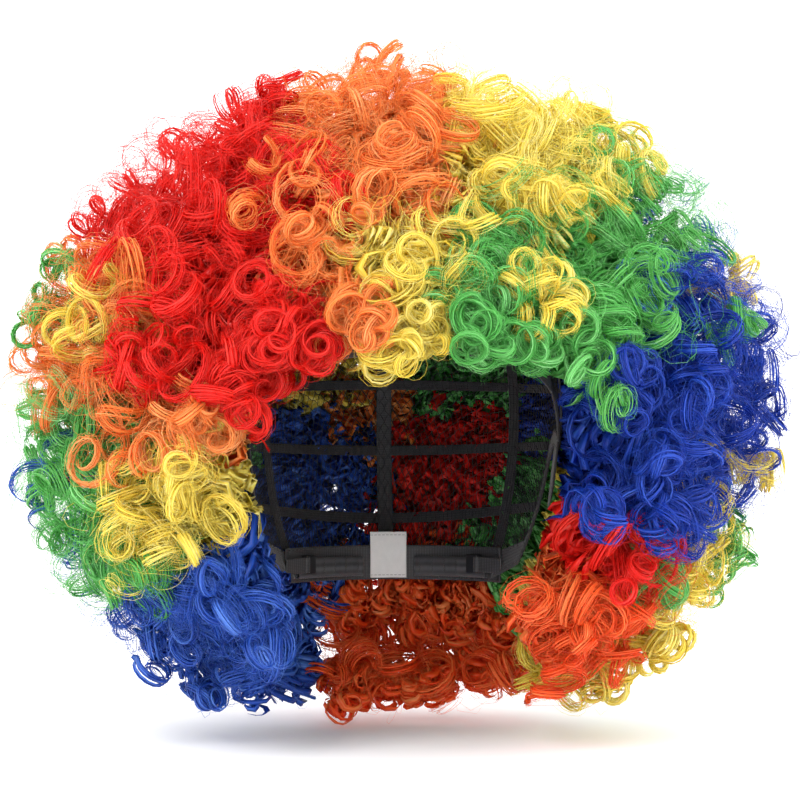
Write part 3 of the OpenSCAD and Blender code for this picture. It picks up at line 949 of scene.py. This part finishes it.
def hair_material(slot):
    """Satin fibre that lets light through, with fine streaks along it and a shade for each lock."""
    if slot in made:
        return made[slot]
    m = bpy.data.materials.new(slot)
    m.use_nodes = True
    nt = m.node_tree
    shader = nt.nodes["Principled BSDF"]
    uv = nt.nodes.new("ShaderNodeUVMap")
    uv.uv_map = UV_NAME
    add = nt.nodes.new("ShaderNodeMath")
    add.operation = "ADD"
    for scale, weight, slot_index in (((COLUMNS * 5, 4, 1), 0.5, 0), ((COLUMNS * 0.14, 1.2, 1), 0.5, 1)):
        place = nt.nodes.new("ShaderNodeMapping")
        place.inputs["Scale"].default_value = scale
        noise = nt.nodes.new("ShaderNodeTexNoise")
        noise.noise_dimensions = "2D"
        noise.inputs["Scale"].default_value = 1
        noise.inputs["Detail"].default_value = 1
        part = nt.nodes.new("ShaderNodeMath")
        part.operation = "MULTIPLY"
        part.inputs[1].default_value = weight
        nt.links.new(uv.outputs[0], place.inputs["Vector"])
        nt.links.new(place.outputs[0], noise.inputs["Vector"])
        nt.links.new(noise.outputs[0], part.inputs[0])
        nt.links.new(part.outputs[0], add.inputs[slot_index])
    ramp = nt.nodes.new("ShaderNodeValToRGB")
    dark, mid, light = HAIR_COLOURS[slot]
    ramp.color_ramp.elements[0].position = 0.34
    ramp.color_ramp.elements[0].color = (*dark, 1)
    ramp.color_ramp.elements[1].position = 0.68
    ramp.color_ramp.elements[1].color = (*light, 1)
    ramp.color_ramp.elements.new(0.5).color = (*mid, 1)
    nt.links.new(add.outputs[0], ramp.inputs[0])
    nt.links.new(ramp.outputs[0], shader.inputs["Base Color"])
    shader.inputs["Roughness"].default_value = 0.40
    shader.inputs["Specular IOR Level"].default_value = 0.5
    glow = nt.nodes.new("ShaderNodeBsdfTranslucent")
    nt.links.new(ramp.outputs[0], glow.inputs["Color"])
    mix = nt.nodes.new("ShaderNodeMixShader")
    mix.inputs[0].default_value = 0.45
    nt.links.new(shader.outputs[0], mix.inputs[1])
    nt.links.new(glow.outputs[0], mix.inputs[2])
    nt.links.new(mix.outputs[0], nt.nodes["Material Output"].inputs["Surface"])
    made[slot] = m
    return m


# Cloths: dark and light colour, threads in a millimetre along and across, roughness
CLOTHS = {
    "cap_band": ((0.012, 0.012, 0.014), (0.045, 0.045, 0.05), 1.2, 1.2, 0.7),
    "cap_rib": ((0.010, 0.010, 0.012), (0.05, 0.05, 0.055), 0.8, 1.6, 0.6),
    "weft": ((0.010, 0.010, 0.012), (0.035, 0.035, 0.04), 1.4, 1.4, 0.75),
    "elastic": ((0.014, 0.014, 0.016), (0.06, 0.06, 0.065), 0.7, 1.3, 0.55),
    "loop_tape": ((0.03, 0.03, 0.034), (0.10, 0.10, 0.11), 1.6, 1.6, 0.65),
    "label": ((0.70, 0.70, 0.69), (0.90, 0.90, 0.88), 2.2, 3.0, 0.35),
}


def cloth_material(slot):
    """Plain weave: threads over and under each other, in colour and in relief."""
    if slot in made:
        return made[slot]
    dark, light, along, across_it, rough = CLOTHS[slot]
    m = bpy.data.materials.new(slot)
    m.use_nodes = True
    nt = m.node_tree
    shader = nt.nodes["Principled BSDF"]
    uv = nt.nodes.new("ShaderNodeUVMap")
    uv.uv_map = "weave"
    place = nt.nodes.new("ShaderNodeMapping")
    place.inputs["Scale"].default_value = (along, across_it, 1)
    nt.links.new(uv.outputs[0], place.inputs["Vector"])
    waves = []
    for direction in ("X", "Y"):
        wave = nt.nodes.new("ShaderNodeTexWave")
        wave.bands_direction = direction
        wave.inputs["Scale"].default_value = 0.314
        wave.inputs["Distortion"].default_value = 0.6
        wave.inputs["Detail Scale"].default_value = 0.5
        nt.links.new(place.outputs[0], wave.inputs["Vector"])
        waves.append(wave)
    over = nt.nodes.new("ShaderNodeMath")
    over.operation = "MULTIPLY"
    nt.links.new(waves[0].outputs["Fac"], over.inputs[0])
    nt.links.new(waves[1].outputs["Fac"], over.inputs[1])
    noise = nt.nodes.new("ShaderNodeTexNoise")
    noise.inputs["Scale"].default_value = 0.35
    noise.inputs["Detail"].default_value = 4
    nt.links.new(uv.outputs[0], noise.inputs["Vector"])
    add = nt.nodes.new("ShaderNodeMath")
    add.operation = "MULTIPLY_ADD"
    add.inputs[1].default_value = 0.5
    nt.links.new(noise.outputs[0], add.inputs[0])
    nt.links.new(over.outputs[0], add.inputs[2])
    ramp = nt.nodes.new("ShaderNodeValToRGB")
    ramp.color_ramp.elements[0].color = (*dark, 1)
    ramp.color_ramp.elements[0].position = 0.2
    ramp.color_ramp.elements[1].color = (*light, 1)
    nt.links.new(add.outputs[0], ramp.inputs[0])
    nt.links.new(ramp.outputs[0], shader.inputs["Base Color"])
    bump = nt.nodes.new("ShaderNodeBump")
    bump.inputs["Strength"].default_value = 0.5
    bump.inputs["Distance"].default_value = 0.15 * MM
    nt.links.new(over.outputs[0], bump.inputs["Height"])
    nt.links.new(bump.outputs[0], shader.inputs["Normal"])
    shader.inputs["Roughness"].default_value = rough
    shader.inputs["Sheen Weight"].default_value = 0.25
    made[slot] = m
    return m


# Other materials: colour, spread of the colour, size of its grain, roughness
PLAINS = {
    "cap_net": ((0.02, 0.02, 0.023), 0.012, 900, 0.6),
    "hook": ((0.016, 0.016, 0.018), 0.006, 2500, 0.28),
}


def plain_material(slot):
    """One dark material with a fine grain in its colour and relief."""
    if slot in made:
        return made[slot]
    colour, spread, grain, rough = PLAINS[slot]
    m = bpy.data.materials.new(slot)
    m.use_nodes = True
    nt = m.node_tree
    shader = nt.nodes["Principled BSDF"]
    noise = nt.nodes.new("ShaderNodeTexNoise")
    noise.inputs["Scale"].default_value = grain
    noise.inputs["Detail"].default_value = 2
    place = nt.nodes.new("ShaderNodeTexCoord")
    nt.links.new(place.outputs["Object"], noise.inputs["Vector"])
    ramp = nt.nodes.new("ShaderNodeValToRGB")
    ramp.color_ramp.elements[0].color = (*(c - spread / 2 for c in colour), 1)
    ramp.color_ramp.elements[1].color = (*(c + spread for c in colour), 1)
    nt.links.new(noise.outputs[0], ramp.inputs[0])
    nt.links.new(ramp.outputs[0], shader.inputs["Base Color"])
    bump = nt.nodes.new("ShaderNodeBump")
    bump.inputs["Strength"].default_value = 0.3
    bump.inputs["Distance"].default_value = 0.05 * MM
    nt.links.new(noise.outputs[0], bump.inputs["Height"])
    nt.links.new(bump.outputs[0], shader.inputs["Normal"])
    shader.inputs["Roughness"].default_value = rough
    made[slot] = m
    return m


# ---- Stage ----------------------------------------------------------------------------------

FLOOR_HALF = 6.0
FLOOR_GAP = 0.5 * MM
SKY_STRENGTH = 1.85
LIT_POINT = (0, 0, 0.05)
CAMERA_TARGET = (0, 0, 0.046)
CAMERA_DISTANCE = 1.35
CAMERA_TURN = math.radians(5)
CAMERA_LENS = 122


def build_stage(low_z):
    """A white floor and a white sky."""
    me = bpy.data.meshes.new("floor")
    w = FLOOR_HALF
    me.from_pydata([(-w, -w, low_z), (w, -w, low_z), (w, w, low_z), (-w, w, low_z)], [], [(0, 1, 2, 3)])
    floor = bpy.data.objects.new("floor", me)
    bpy.context.scene.collection.objects.link(floor)
    m = bpy.data.materials.new("floor")
    m.use_nodes = True
    m.node_tree.nodes["Principled BSDF"].inputs["Base Color"].default_value = (0.95, 0.95, 0.95, 1)
    m.node_tree.nodes["Principled BSDF"].inputs["Roughness"].default_value = 0.8
    me.materials.append(m)
    floor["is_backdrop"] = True
    world = bpy.data.worlds.new("world")
    world.use_nodes = True
    world.node_tree.nodes["Background"].inputs["Color"].default_value = (1, 1, 1, 1)
    world.node_tree.nodes["Background"].inputs["Strength"].default_value = SKY_STRENGTH
    bpy.context.scene.world = world
    bpy.context.scene.view_settings.view_transform = "Standard"


def area_light(name, place, target, size, power):
    data = bpy.data.lights.new(name, "AREA")
    data.size = size
    data.energy = power
    ob = bpy.data.objects.new(name, data)
    ob.location = place
    ob.rotation_euler = (Vector(target) - Vector(place)).to_track_quat("-Z", "Y").to_euler()
    bpy.context.scene.collection.objects.link(ob)


def build_camera():
    target = Vector(CAMERA_TARGET)
    data = bpy.data.cameras.new("camera")
    data.lens = CAMERA_LENS
    ob = bpy.data.objects.new("camera", data)
    away = Vector((-math.sin(CAMERA_TURN), -math.cos(CAMERA_TURN), 0.0))
    ob.location = target + away * CAMERA_DISTANCE
    ob.rotation_euler = (target - ob.location).to_track_quat("-Z", "Y").to_euler()
    bpy.context.scene.collection.objects.link(ob)
    bpy.context.scene.camera = ob


# ---- Build ----------------------------------------------------------------------------------

hair_nodes = sorted(n for n in nodes if n.startswith("hair_"))
for index, node in enumerate(hair_nodes):
    build_section(node, 100 + index)
build_cap()
build_stage(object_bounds()[0][2] - FLOOR_GAP)
area_light("key", (-0.9, -1.4, 1.3), LIT_POINT, 0.9, 22)
area_light("fill", (1.3, -1.2, 0.5), LIT_POINT, 1.2, 10)
build_camera()
